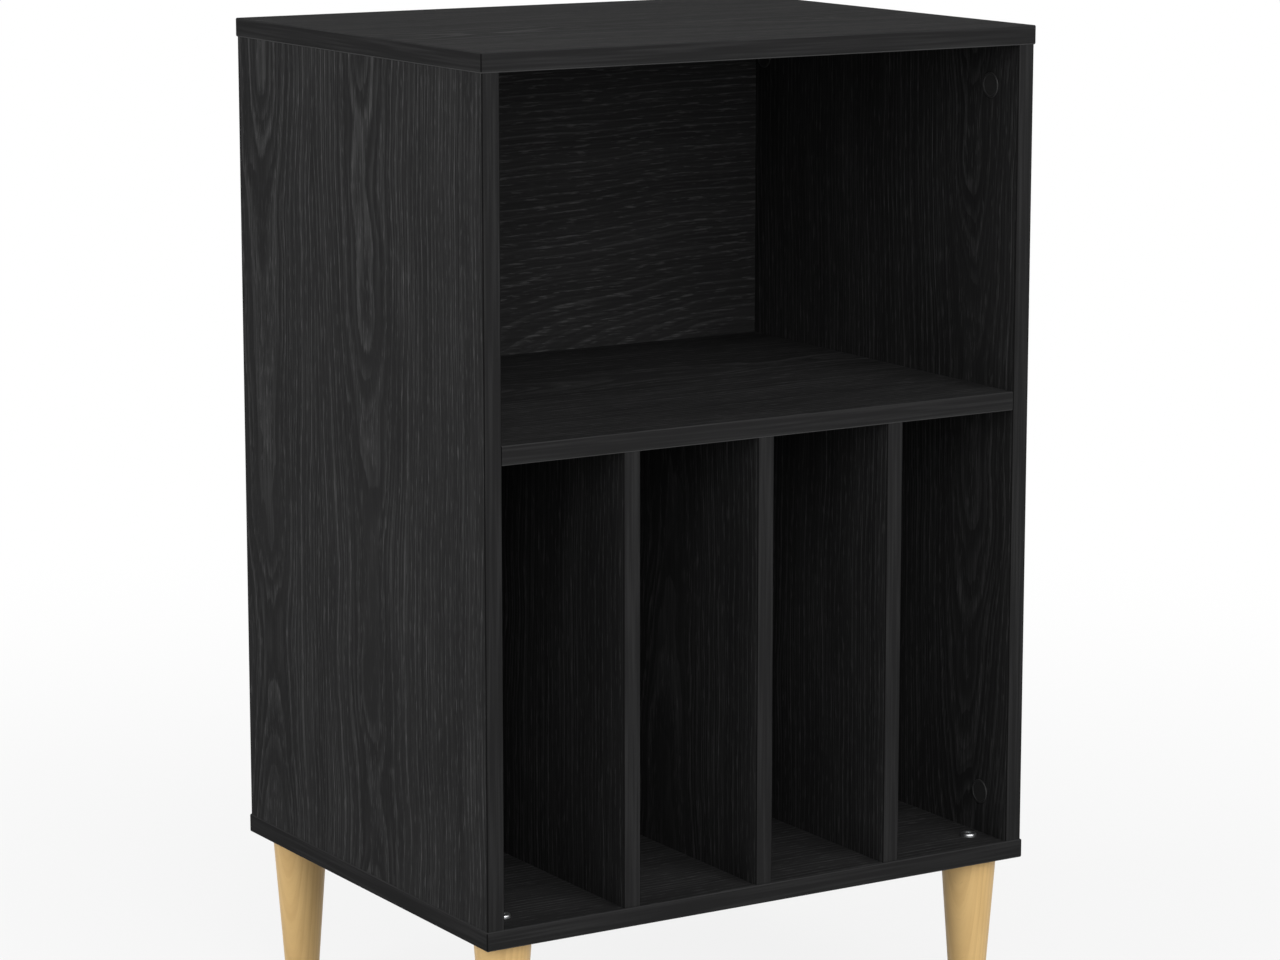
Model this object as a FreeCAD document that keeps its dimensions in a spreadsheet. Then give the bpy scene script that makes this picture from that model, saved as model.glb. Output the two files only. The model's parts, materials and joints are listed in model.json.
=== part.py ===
# Flat-pack stand on turned legs: an open upper compartment over four upright slots.
# Frame: +Z up from the floor, front towards -Y, origin on the floor under the middle.
import FreeCAD, Part
import os
import Sketcher

Vector = FreeCAD.Vector
ZERO = "0"
TOUCHING = 1e-6

# Sides of the prisms that stand for small round forms, to keep their faces few
FASTENER_SIDES = 8
CAM_SIDES = 12
SOCKET_SIDES = 6
DISC_SIDES = 16

# Driving sizes in millimetres
SIZES = {
    # Overall form
    "stand_width": 500,
    "stand_depth": 400,
    "leg_height": 125,
    "slot_height": 355,
    "upper_height": 275,
    # Boards
    "board_thickness": 15,
    "panel_overhang": 1,
    "divider_setback": 1,
    "eased_edge": 0.8,
    "cut_overrun": 1,
    # Back panels and their grooves
    "back_thickness": 3,
    "back_inset": 20,
    "groove_depth": 4,
    "groove_play": 0.2,
    "back_edge_play": 0.5,
    "divider_rear_play": 0.3,
    # Cam locks
    "cam_diameter": 15,
    "cam_length": 12,
    "cam_bore_play": 0.2,
    "cam_end_play": 0.5,
    "cam_end_distance": 34,
    "cam_edge_distance": 36,
    "cam_drive_length": 6,
    "cam_drive_width": 1.4,
    "cam_drive_depth": 2.4,
    # Cam bolts
    "bolt_thread_diameter": 5,
    "bolt_thread_length": 11,
    "bolt_shank_diameter": 6,
    "bolt_neck_diameter": 3.6,
    "bolt_neck_length": 6,
    "bolt_head_diameter": 6,
    "bolt_head_length": 4,
    "bolt_head_play": 0.5,
    "bolt_bore_play": 1,
    "bolt_pilot_play": 0.1,
    "bolt_tip_play": 0.5,
    # Cover caps over the cam locks
    "cap_diameter": 20,
    "cap_thickness": 1,
    "cap_draft": 0.5,
    "cap_rib_depth": 2,
    "cap_rib_play": 0.2,
    # Dowels
    "dowel_diameter": 8,
    "dowel_length": 30,
    "dowel_face_depth": 10,
    "dowel_bore_play": 0.2,
    "dowel_end_play": 0.5,
    "dowel_spacing": 64,
    # Screws from below into the dividers
    "screw_length": 50,
    "screw_thread_diameter": 5,
    "screw_neck_diameter": 7,
    "screw_head_diameter": 10,
    "screw_head_height": 4,
    "screw_socket_flats": 4,
    "screw_socket_depth": 2.5,
    "screw_bore_play": 0.2,
    "screw_tip_play": 1,
    # Legs
    "leg_inset": 31,
    "leg_top_diameter": 45,
    "leg_foot_diameter": 27,
    "leg_foot_chamfer": 1.5,
    # Hanger bolts and threaded inserts that hold the legs
    "hanger_diameter": 6,
    "hanger_tip_gap": 3,
    "hanger_wood_length": 30,
    "hanger_play": 0.2,
    "hanger_end_play": 2,
    "insert_diameter": 9,
    "insert_end_gap": 3,
    "insert_head_diameter": 12.5,
    "insert_head_height": 2.8,
    "insert_socket_flats": 5,
    "insert_socket_depth": 2,
    "insert_play": 0.2,
    # Foot glides and their nails
    "glide_diameter": 22,
    "glide_thickness": 3,
    "glide_draft": 1,
    "nail_diameter": 2.4,
    "nail_length": 15,
    "nail_head_diameter": 5,
    "nail_head_thickness": 1,
    "nail_recess_depth": 1.2,
    "nail_play": 0.2,
}

# Sizes and places that follow from the driving ones
DERIVED = {
    # Carcass
    "half_width": "stand_width / 2",
    "half_depth": "stand_depth / 2",
    "half_board": "board_thickness / 2",
    "side_inner_x": "half_width - panel_overhang - board_thickness",
    "side_mid_x": "side_inner_x + half_board",
    "carcass_half_depth": "half_depth - panel_overhang",
    "side_height": "slot_height + board_thickness + upper_height",
    "side_base_z": "leg_height + board_thickness",
    "shelf_base_z": "side_base_z + slot_height",
    "shelf_top_z": "shelf_base_z + board_thickness",
    "shelf_mid_height": "slot_height + half_board",
    "top_base_z": "side_base_z + side_height",
    "divider_pitch": "(2 * side_inner_x + board_thickness) / 4",
    "divider_front_y": "carcass_half_depth - divider_setback",
    # Back panels
    "groove_rear_y": "carcass_half_depth - back_inset",
    "groove_front_y": "groove_rear_y - back_thickness - groove_play",
    "groove_end_x": "side_inner_x + groove_depth",
    "back_rear_y": "groove_rear_y - groove_play / 2",
    "back_front_y": "back_rear_y - back_thickness",
    "back_half_width": "groove_end_x - back_edge_play",
    "upper_back_height": "upper_height + 2 * groove_depth - back_edge_play",
    "lower_back_height": "slot_height + 2 * groove_depth - back_edge_play",
    "upper_back_z": "shelf_top_z - groove_depth",
    "lower_back_z": "side_base_z - groove_depth",
    "divider_rear_y": "back_front_y - divider_rear_play",
    # Cam joints
    "fitting_y": "carcass_half_depth - cam_edge_distance",
    "cam_bore": "cam_diameter + cam_bore_play",
    "cam_bore_depth": "cam_length + cam_end_play",
    "cam_top_z": "top_base_z - cam_end_distance",
    "cam_bottom_z": "side_base_z + cam_end_distance",
    "cam_top_height": "side_height - cam_end_distance",
    "cam_shelf_x": "side_inner_x - cam_end_distance",
    "shelf_mid_z": "shelf_base_z + half_board",
    "bolt_bore": "bolt_shank_diameter + bolt_bore_play",
    "pilot_bore": "bolt_thread_diameter + bolt_pilot_play",
    "pilot_depth": "bolt_thread_length + bolt_tip_play",
    "bolt_head_start": "cam_end_distance - bolt_head_length / 2",
    "bolt_shank_end": "bolt_head_start - bolt_neck_length",
    "chamber_diameter": "bolt_head_diameter + 2 * bolt_head_play",
    "chamber_front": "bolt_head_length / 2 + bolt_head_play",
    "chamber_cut": "chamber_front + cam_diameter / 2 + cut_overrun",
    "neck_slot": "bolt_neck_diameter + bolt_head_play",
    "neck_cut": "cam_diameter / 2 + cut_overrun",
    "cap_face_diameter": "cap_diameter - 2 * cap_draft",
    "drive_half_length": "cam_drive_length / 2",
    "drive_half_width": "cam_drive_width / 2",
    "rib_half_length": "(cam_drive_length - cap_rib_play) / 2",
    "rib_half_width": "(cam_drive_width - cap_rib_play) / 2",
    # Dowels
    "dowel_y": "fitting_y - dowel_spacing",
    "dowel_bore": "dowel_diameter + dowel_bore_play",
    "dowel_face_bore": "dowel_face_depth + dowel_end_play",
    "dowel_end_bore": "dowel_length - dowel_face_depth + dowel_end_play",
    # Divider screws
    "screw_neck_length": "board_thickness - screw_head_height",
    "screw_thread_length": "screw_length - board_thickness",
    "screw_head_bore": "screw_head_diameter + screw_bore_play",
    "screw_neck_bore": "screw_neck_diameter + screw_bore_play",
    "screw_pilot_bore": "screw_thread_diameter + screw_bore_play",
    "screw_pilot_depth": "screw_thread_length + screw_tip_play",
    "screw_socket": "screw_socket_flats / cos(30 deg)",
    # Legs and their fixings
    "leg_x": "half_width - leg_inset",
    "leg_y": "half_depth - leg_inset",
    "leg_wood_length": "leg_height - glide_thickness",
    "leg_top_radius": "leg_top_diameter / 2",
    "leg_foot_radius": "leg_foot_diameter / 2",
    "leg_foot_flat": "leg_foot_radius - leg_foot_chamfer",
    "hanger_length": "hanger_wood_length + board_thickness - hanger_tip_gap",
    "hanger_bore": "hanger_diameter + hanger_play",
    "hanger_bore_depth": "hanger_wood_length + hanger_end_play",
    "insert_length": "board_thickness - insert_end_gap",
    "insert_bore": "insert_diameter + insert_play",
    "insert_socket": "insert_socket_flats / cos(30 deg)",
    # Glides
    "glide_face_diameter": "glide_diameter - 2 * glide_draft",
    "nail_bore": "nail_diameter + nail_play",
    "nail_recess": "nail_head_diameter + nail_play",
    "nail_bore_depth": "nail_recess_depth + nail_length - glide_thickness + nail_play",
}

doc = FreeCAD.newDocument("stand")
sheet = doc.addObject("Spreadsheet::Sheet", "Sizes")


def fill_sheet():
    """Write the driving numbers, then the cells that follow from them."""
    rows = [(name, str(value)) for name, value in SIZES.items()]
    rows += [(name, "=" + sum_text) for name, sum_text in DERIVED.items()]
    for row, (name, text) in enumerate(rows, start=1):
        sheet.set(f"A{row}", name)
        sheet.set(f"B{row}", text)
        sheet.setAlias(f"B{row}", name)
    doc.recompute()


def formula(size):
    """Expression for a named size; a leading minus takes it to the other side."""
    if size == ZERO:
        return ZERO
    sign = "-" if size.startswith("-") else ""
    return f"{sign}Sizes.{size.lstrip('-')}"


def number(size):
    """Present value of a named size."""
    if size == ZERO:
        return 0.0
    sign = -1 if size.startswith("-") else 1
    return sign * float(sheet.get(size.lstrip("-")))


# Sketches

def sketch_on(body, role, name, level=ZERO):
    """Sketch on one of the body's own origin planes, raised along its normal to a level."""
    plane = next(feature for feature in body.Origin.OriginFeatures if feature.Role == role)
    sketch = body.newObject("Sketcher::SketchObject", f"{body.Name}_{name}")
    sketch.AttachmentSupport = [(plane, "")]
    sketch.MapMode = "FlatFace"
    sketch.setExpression("AttachmentOffset.Base.z", formula(level))
    return sketch


def place(sketch, kind, geometry, point, size):
    """Hold one point of a sketch at a named distance from the sketch's origin."""
    if size == ZERO:
        axis = -2 if kind == "DistanceX" else -1
        sketch.addConstraint(Sketcher.Constraint("PointOnObject", geometry, point, axis))
        return
    constraint = Sketcher.Constraint(kind, -1, 1, geometry, point, number(size))
    index = sketch.addConstraint(constraint)
    sketch.setExpression(f"Constraints[{index}]", formula(size))


def closed_loop(sketch, points):
    """Lines from point to point and back to the first; gives the first line's number."""
    first = sketch.GeometryCount
    count = len(points)
    for step in range(count):
        sketch.addGeometry(Part.LineSegment(points[step], points[(step + 1) % count]), False)
    for step in range(count):
        following = first + (step + 1) % count
        sketch.addConstraint(Sketcher.Constraint("Coincident", first + step, 2, following, 1))
    return first


def outline(sketch, corners):
    """Closed outline through corners given as pairs of named sizes."""
    points = [Vector(number(across), number(up), 0) for across, up in corners]
    first = closed_loop(sketch, points)
    for step, (across, up) in enumerate(corners):
        place(sketch, "DistanceX", first + step, 1, across)
        place(sketch, "DistanceY", first + step, 1, up)


def rectangle(sketch, left, right, bottom, top):
    """Rectangle between four named lines."""
    outline(sketch, [(left, bottom), (right, bottom), (right, top), (left, top)])


def regular(sketch, sides, across, up, diameter):
    """Equal-sided outline on a guide circle of a named diameter, a corner level with its centre."""
    centre = Vector(number(across), number(up), 0)
    ring = Part.Circle(centre, Vector(0, 0, 1), number(diameter) / 2)
    guide = sketch.addGeometry(ring, True)
    place(sketch, "DistanceX", guide, 3, across)
    place(sketch, "DistanceY", guide, 3, up)
    bound = sketch.addConstraint(Sketcher.Constraint("Diameter", guide, number(diameter)))
    sketch.setExpression(f"Constraints[{bound}]", formula(diameter))
    first = closed_loop(sketch, [ring.value(ring.LastParameter * step / sides) for step in range(sides)])
    for step in range(sides):
        sketch.addConstraint(Sketcher.Constraint("PointOnObject", first + step, 1, guide))
    for step in range(1, sides):
        sketch.addConstraint(Sketcher.Constraint("Equal", first, first + step))
    sketch.addConstraint(Sketcher.Constraint("Horizontal", guide, 3, first, 1))


# Features

def new_body(label, x=ZERO, y=ZERO, z=ZERO):
    """Body of its own label, with its origin at named coordinates."""
    body = doc.addObject("PartDesign::Body", label)
    body.Label = label
    for axis, size in (("x", x), ("y", y), ("z", z)):
        body.setExpression(f"Placement.Base.{axis}", formula(size))
    return body


def pad(body, sketch, length, along_normal=True):
    """Raise a sketch by a named length, along its normal or against it."""
    feature = body.newObject("PartDesign::Pad", f"{sketch.Name}_pad")
    feature.Profile = sketch
    feature.Reversed = not along_normal
    feature.setExpression("Length", formula(length))
    doc.recompute()
    return feature


def cut(body, sketch, depth, along_normal):
    """Sink a sketch by a named depth, and make sure that it took material away."""
    before = body.Shape.Volume
    feature = body.newObject("PartDesign::Pocket", f"{sketch.Name}_cut")
    feature.Profile = sketch
    feature.Reversed = along_normal
    feature.setExpression("Length", formula(depth))
    doc.recompute()
    if body.Shape.Volume > before - TOUCHING:
        raise RuntimeError(f"{body.Label}: {sketch.Label} cuts nothing")


def bore(body, role, level, along_normal, name, centres, diameter, depth, sides=FASTENER_SIDES):
    """Drill one set of equal holes from a face of the body."""
    sketch = sketch_on(body, role, name, level)
    for across, up in centres:
        regular(sketch, sides, across, up, diameter)
    cut(body, sketch, depth, along_normal)


def rod(body, name, diameter, level, length, sides=FASTENER_SIDES):
    """Add one length of a fastener along the body's own Z axis."""
    sketch = sketch_on(body, "XY_Plane", name, level)
    regular(sketch, sides, ZERO, ZERO, diameter)
    pad(body, sketch, length)


def drafted_disc(body, seat_diameter, face_diameter, face_level):
    """Disc that narrows from its seat at the origin to its free face."""
    seat = sketch_on(body, "XY_Plane", "seat")
    regular(seat, DISC_SIDES, ZERO, ZERO, seat_diameter)
    face = sketch_on(body, "XY_Plane", "face", face_level)
    regular(face, DISC_SIDES, ZERO, ZERO, face_diameter)
    disc = body.newObject("PartDesign::AdditiveLoft", f"{body.Name}_disc")
    disc.Profile = seat
    disc.Sections = [face]
    disc.Ruled = True
    doc.recompute()


def ease(body, feature, direction=None):
    """Break a board's arrises; a direction keeps to the edges that run along it."""
    edges = enumerate(feature.Shape.Edges, start=1)
    names = [f"Edge{index}" for index, edge in edges if direction is None or runs_along(edge, direction)]
    chamfer = body.newObject("PartDesign::Chamfer", f"{body.Name}_eased")
    chamfer.Base = (feature, names)
    chamfer.setExpression("Size", formula("eased_edge"))
    doc.recompute()


def runs_along(edge, direction):
    """Whether a straight edge runs along a direction."""
    return edge.tangentAt(edge.FirstParameter).cross(direction).Length < TOUCHING


# Places

UP = Vector(0, 0, 1)
DOWN = Vector(0, 0, -1)
RIGHT = Vector(1, 0, 0)
LEFT = Vector(-1, 0, 0)


def both(size):
    """A named size on both sides of the middle."""
    return ("-" + size, size)


def four(x, y):
    """The four corners at named distances from the middle."""
    return [(across, up) for across in both(x) for up in both(y)]


def turn(ahead, into):
    """Rotation that takes a fastener's own X ahead and its own Z into its seat."""
    return FreeCAD.Rotation(ahead, into.cross(ahead), into, "ZXY")


DIVIDER_PLACES = ("-divider_pitch", ZERO, "divider_pitch")
DIVIDER_FIXINGS = [(x, y) for x in DIVIDER_PLACES for y in both("dowel_y")]


# Top and bottom panels

def panel_seat(panel, level, along_normal):
    """Holes and groove in the face of a panel that the sides and a back panel meet."""
    bolts = four("side_mid_x", "fitting_y")
    bore(panel, "XY_Plane", level, along_normal, "pilots", bolts, "pilot_bore", "pilot_depth")
    dowels = four("side_mid_x", "dowel_y")
    bore(panel, "XY_Plane", level, along_normal, "dowels", dowels, "dowel_bore", "dowel_face_bore")
    groove = sketch_on(panel, "XY_Plane", "groove", level)
    rectangle(groove, "-groove_end_x", "groove_end_x", "groove_front_y", "groove_rear_y")
    cut(panel, groove, "groove_depth", along_normal)


def outer_panel(label, base):
    """Full-size board, eased on every arris."""
    panel = new_body(label, z=base)
    face = sketch_on(panel, "XY_Plane", "face")
    rectangle(face, "-half_width", "half_width", "-half_depth", "half_depth")
    ease(panel, pad(panel, face, "board_thickness"))
    return panel


def make_top_panel():
    """Top panel, fixed from below so that its upper face stays plain."""
    panel = outer_panel("top_panel", "top_base_z")
    panel_seat(panel, ZERO, True)
    return panel


def make_bottom_panel():
    """Bottom panel, which also takes the legs' inserts and, from below, the divider screws."""
    panel = outer_panel("bottom_panel", "leg_height")
    panel_seat(panel, "board_thickness", False)
    legs = four("leg_x", "leg_y")
    bore(panel, "XY_Plane", ZERO, True, "inserts", legs, "insert_bore", "board_thickness")
    screws = DIVIDER_FIXINGS
    bore(panel, "XY_Plane", ZERO, True, "necks", screws, "screw_neck_bore", "board_thickness")
    bore(panel, "XY_Plane", ZERO, True, "heads", screws, "screw_head_bore", "screw_head_height")
    return panel


# Side panels

def make_side_panel(label, hand):
    """Side panel with its inner face on the body's YZ plane; hand is - for left, empty for right."""
    rightward = hand == ""
    panel = new_body(label, x=hand + "side_inner_x", z="side_base_z")
    face = sketch_on(panel, "YZ_Plane", "face")
    rectangle(face, "-carcass_half_depth", "carcass_half_depth", ZERO, "side_height")
    ease(panel, pad(panel, face, "board_thickness", along_normal=rightward), UP)
    middle = hand + "half_board"
    bolts = [(middle, y) for y in both("fitting_y")]
    dowels = [(middle, y) for y in both("dowel_y")]
    for end, level, upward in (("top", "side_height", False), ("bottom", ZERO, True)):
        bore(panel, "XY_Plane", level, upward, f"{end}_bolts", bolts, "bolt_bore", "cam_end_distance")
        bore(panel, "XY_Plane", level, upward, f"{end}_dowels", dowels, "dowel_bore", "dowel_end_bore")
    cams = [(y, z) for y in both("fitting_y") for z in ("cam_end_distance", "cam_top_height")]
    bore(panel, "YZ_Plane", ZERO, rightward, "cams", cams, "cam_bore", "cam_bore_depth", CAM_SIDES)
    pilots = [(y, "shelf_mid_height") for y in both("fitting_y")]
    bore(panel, "YZ_Plane", ZERO, rightward, "pilots", pilots, "pilot_bore", "pilot_depth")
    dowels = [(y, "shelf_mid_height") for y in both("dowel_y")]
    bore(panel, "YZ_Plane", ZERO, rightward, "dowels", dowels, "dowel_bore", "dowel_face_bore")
    groove = sketch_on(panel, "YZ_Plane", "groove")
    rectangle(groove, "groove_front_y", "groove_rear_y", ZERO, "side_height")
    cut(panel, groove, "groove_depth", rightward)
    return panel


# Middle shelf

def make_shelf():
    """Shelf between the sides, fixed by cam locks in its underside."""
    shelf = new_body("middle_shelf", z="shelf_base_z")
    face = sketch_on(shelf, "XY_Plane", "face")
    rectangle(face, "-side_inner_x", "side_inner_x", "-carcass_half_depth", "carcass_half_depth")
    ease(shelf, pad(shelf, face, "board_thickness"), RIGHT)
    bolts = [(y, "half_board") for y in both("fitting_y")]
    dowels = [(y, "half_board") for y in both("dowel_y")]
    for end, level, inward in (("left", "-side_inner_x", True), ("right", "side_inner_x", False)):
        bore(shelf, "YZ_Plane", level, inward, f"{end}_bolts", bolts, "bolt_bore", "cam_end_distance")
        bore(shelf, "YZ_Plane", level, inward, f"{end}_dowels", dowels, "dowel_bore", "dowel_end_bore")
    cams = four("cam_shelf_x", "fitting_y")
    bore(shelf, "XY_Plane", ZERO, True, "cams", cams, "cam_bore", "cam_bore_depth", CAM_SIDES)
    bore(shelf, "XY_Plane", ZERO, True, "dividers", DIVIDER_FIXINGS, "dowel_bore", "dowel_face_bore")
    for name, level, upward in (("lower_groove", ZERO, True), ("upper_groove", "board_thickness", False)):
        groove = sketch_on(shelf, "XY_Plane", name, level)
        rectangle(groove, "-side_inner_x", "side_inner_x", "groove_front_y", "groove_rear_y")
        cut(shelf, groove, "groove_depth", upward)
    return shelf


# Dividers

def make_divider(label, x):
    """Upright board between the bottom panel and the shelf."""
    divider = new_body(label, x=x, z="side_base_z")
    face = sketch_on(divider, "YZ_Plane", "face", "-half_board")
    rectangle(face, "-divider_front_y", "divider_rear_y", ZERO, "slot_height")
    ease(divider, pad(divider, face, "board_thickness"), UP)
    fixings = [(ZERO, y) for y in both("dowel_y")]
    bore(divider, "XY_Plane", "slot_height", False, "dowels", fixings, "dowel_bore", "dowel_end_bore")
    bore(divider, "XY_Plane", ZERO, True, "pilots", fixings, "screw_pilot_bore", "screw_pilot_depth")
    return divider


# Back panels

def make_back_panel(label, base, height):
    """Thin board that stands in the grooves of its neighbours."""
    panel = new_body(label, y="back_rear_y", z=base)
    face = sketch_on(panel, "XZ_Plane", "face")
    rectangle(face, "-back_half_width", "back_half_width", ZERO, height)
    pad(panel, face, "back_thickness")
    return panel


# Legs and fasteners, each modelled once about its own axis with its seat at the origin

def make_leg():
    """Turned leg, straight tapered, drilled for its hanger bolt above and its nail below."""
    leg = new_body("leg_master")
    profile = sketch_on(leg, "XZ_Plane", "profile")
    outline(profile, [(ZERO, ZERO), ("leg_foot_flat", ZERO), ("leg_foot_radius", "leg_foot_chamfer"),
                      ("leg_top_radius", "leg_wood_length"), (ZERO, "leg_wood_length")])
    cone = leg.newObject("PartDesign::Revolution", "leg_turned")
    cone.Profile = profile
    cone.ReferenceAxis = (profile, ["V_Axis"])
    cone.Angle = 360
    doc.recompute()
    axis = [(ZERO, ZERO)]
    bore(leg, "XY_Plane", "leg_wood_length", False, "hanger", axis, "hanger_bore", "hanger_bore_depth")
    bore(leg, "XY_Plane", ZERO, True, "nail", axis, "nail_bore", "nail_bore_depth")
    return leg


def make_cam_lock():
    """Cam lock: drum with an open chamber for the bolt's head, a neck slot and a cross drive."""
    cam = new_body("cam_lock_master")
    rod(cam, "drum", "cam_diameter", ZERO, "cam_length", CAM_SIDES)
    head = [(ZERO, "half_board")]
    bore(cam, "YZ_Plane", "chamber_front", False, "chamber", head, "chamber_diameter", "chamber_cut")
    bore(cam, "YZ_Plane", ZERO, True, "neck", head, "neck_slot", "neck_cut")
    for name, length, width in (("drive_along", "drive_half_length", "drive_half_width"),
                                ("drive_across", "drive_half_width", "drive_half_length")):
        drive = sketch_on(cam, "XY_Plane", name)
        rectangle(drive, "-" + length, length, "-" + width, width)
        cut(cam, drive, "cam_drive_depth", True)
    return cam


def make_cam_bolt():
    """Cam bolt: thread in one board, shank, neck and head in the next."""
    bolt = new_body("cam_bolt_master")
    rod(bolt, "thread", "bolt_thread_diameter", "-bolt_thread_length", "bolt_thread_length")
    rod(bolt, "shank", "bolt_shank_diameter", ZERO, "bolt_shank_end")
    rod(bolt, "neck", "bolt_neck_diameter", "bolt_shank_end", "bolt_neck_length")
    rod(bolt, "head", "bolt_head_diameter", "bolt_head_start", "bolt_head_length")
    return bolt


def make_cam_cap():
    """Cover cap: drafted disc on the board's face, with a rib that grips the cam's drive."""
    cap = new_body("cam_cap_master")
    drafted_disc(cap, "cap_diameter", "cap_face_diameter", "-cap_thickness")
    rib = sketch_on(cap, "XY_Plane", "rib")
    rectangle(rib, "-rib_half_length", "rib_half_length", "-rib_half_width", "rib_half_width")
    pad(cap, rib, "cap_rib_depth")
    return cap


def make_dowel():
    """Wooden dowel, its short end in a board's face."""
    dowel = new_body("dowel_master")
    rod(dowel, "peg", "dowel_diameter", "-dowel_face_depth", "dowel_length")
    return dowel


def make_divider_screw():
    """Connector screw with a flat hexagon-socket head."""
    screw = new_body("divider_screw_master")
    rod(screw, "head", "screw_head_diameter", ZERO, "screw_head_height")
    rod(screw, "neck", "screw_neck_diameter", "screw_head_height", "screw_neck_length")
    rod(screw, "thread", "screw_thread_diameter", "board_thickness", "screw_thread_length")
    socket = [(ZERO, ZERO)]
    bore(screw, "XY_Plane", ZERO, True, "socket", socket, "screw_socket", "screw_socket_depth", SOCKET_SIDES)
    return screw


def make_hanger_bolt():
    """Hanger bolt: machine thread upwards, wood thread downwards."""
    bolt = new_body("hanger_bolt_master")
    rod(bolt, "stem", "hanger_diameter", "-hanger_wood_length", "hanger_length")
    return bolt


def make_insert():
    """Threaded insert set in from above: a barrel in the panel's bore under a low socket head."""
    insert = new_body("threaded_insert_master")
    rod(insert, "barrel", "insert_diameter", "-insert_length", "insert_length")
    rod(insert, "head", "insert_head_diameter", ZERO, "insert_head_height", CAM_SIDES)
    axis = [(ZERO, ZERO)]
    bore(insert, "XY_Plane", "-insert_length", True, "thread", axis, "hanger_bore", "insert_length")
    bore(insert, "XY_Plane", "insert_head_height", False, "socket", axis, "insert_socket",
         "insert_socket_depth", SOCKET_SIDES)
    return insert


def make_glide():
    """Foot glide: drafted pad with a recess for its nail's head."""
    glide = new_body("foot_glide_master")
    drafted_disc(glide, "glide_diameter", "glide_face_diameter", "-glide_thickness")
    axis = [(ZERO, ZERO)]
    bore(glide, "XY_Plane", ZERO, False, "nail", axis, "nail_bore", "glide_thickness")
    bore(glide, "XY_Plane", "-glide_thickness", True, "recess", axis, "nail_recess", "nail_recess_depth")
    return glide


def make_nail():
    """Glide nail, with its head under the recess's ceiling."""
    nail = new_body("glide_nail_master")
    rod(nail, "head", "nail_head_diameter", "-nail_head_thickness", "nail_head_thickness")
    rod(nail, "shank", "nail_diameter", ZERO, "nail_length")
    return nail


def group(label, master, places):
    """Equal pieces in one node: each place is x, y, z and the turn that seats it."""
    copies = []
    for index, (x, y, z, seat) in enumerate(places, start=1):
        copy = doc.addObject("App::Link", f"{label}_{index}")
        copy.LinkedObject = master
        copy.Placement = FreeCAD.Placement(Vector(0, 0, 0), seat)
        for axis, size in (("x", x), ("y", y), ("z", z)):
            copy.setExpression(f"Placement.Base.{axis}", formula(size))
        copies.append(copy)
    node = doc.addObject("Part::Compound", label)
    node.Label = label
    node.Links = copies
    return node


def make_cam_joint(name, masters, cam_places, bolt_places, dowel_places):
    """The four nodes of one level of cam joints."""
    cam, bolt, cap, dowel = masters
    return [group(f"{name}_cam_locks", cam, cam_places),
            group(f"{name}_cam_bolts", bolt, bolt_places),
            group(f"{name}_cam_caps", cap, cam_places),
            group(f"{name}_dowels", dowel, dowel_places)]


def make_cam_joints():
    """Cam locks, bolts, caps and dowels at the top panel, the bottom panel and the shelf."""
    masters = (make_cam_lock(), make_cam_bolt(), make_cam_cap(), make_dowel())
    hands = (("-", LEFT, RIGHT), ("", RIGHT, LEFT))
    nodes = []
    for name, seat_z, cam_z, ahead in (("top", "top_base_z", "cam_top_z", UP),
                                       ("bottom", "side_base_z", "cam_bottom_z", DOWN)):
        cams = [(hand + "side_inner_x", y, cam_z, turn(ahead, outward))
                for hand, outward, inward in hands for y in both("fitting_y")]
        seat = turn(RIGHT, -ahead)
        bolts = [(x, y, seat_z, seat) for x, y in four("side_mid_x", "fitting_y")]
        dowels = [(x, y, seat_z, seat) for x, y in four("side_mid_x", "dowel_y")]
        nodes += make_cam_joint(name, masters, cams, bolts, dowels)
    cams = [(hand + "cam_shelf_x", y, "shelf_base_z", turn(outward, UP))
            for hand, outward, inward in hands for y in both("fitting_y")]
    bolts, dowels = ([(hand + "side_inner_x", y, "shelf_mid_z", turn(UP, inward))
                      for hand, outward, inward in hands for y in both(line)]
                     for line in ("fitting_y", "dowel_y"))
    nodes += make_cam_joint("shelf", masters, cams, bolts, dowels)
    seats = [(x, y, "shelf_base_z", turn(RIGHT, DOWN)) for x, y in DIVIDER_FIXINGS]
    nodes.append(group("divider_dowels", masters[-1], seats))
    return nodes


def make_underside():
    """What is fixed to the bottom panel: divider screws, legs with their fixings, and glides."""
    upright = turn(RIGHT, UP)
    screws = [(x, y, "leg_height", upright) for x, y in DIVIDER_FIXINGS]
    levels = ("side_base_z", "leg_height", "glide_thickness", "nail_recess_depth")
    inserts, bolts, feet, nails = ([(x, y, z, upright) for x, y in four("leg_x", "leg_y")]
                                   for z in levels)
    leg = make_leg()
    nodes = [group(label, leg, [(x, y, "glide_thickness", upright) for x in both("leg_x")])
             for label, y in (("front_legs", "-leg_y"), ("rear_legs", "leg_y"))]
    nodes += [group("divider_screws", make_divider_screw(), screws),
              group("leg_threaded_inserts", make_insert(), inserts),
              group("leg_hanger_bolts", make_hanger_bolt(), bolts),
              group("foot_glides", make_glide(), feet),
              group("glide_nails", make_nail(), nails)]
    return nodes


def make_stand():
    """All the nodes of the stand, boards first."""
    nodes = [make_top_panel(), make_bottom_panel(),
             make_side_panel("left_side_panel", "-"), make_side_panel("right_side_panel", ""),
             make_shelf()]
    for label, x in zip(("left_divider", "centre_divider", "right_divider"), DIVIDER_PLACES):
        nodes.append(make_divider(label, x))
    nodes.append(make_back_panel("upper_back_panel", "upper_back_z", "upper_back_height"))
    nodes.append(make_back_panel("lower_back_panel", "lower_back_z", "lower_back_height"))
    nodes += make_cam_joints()
    nodes += make_underside()
    return nodes


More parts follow.
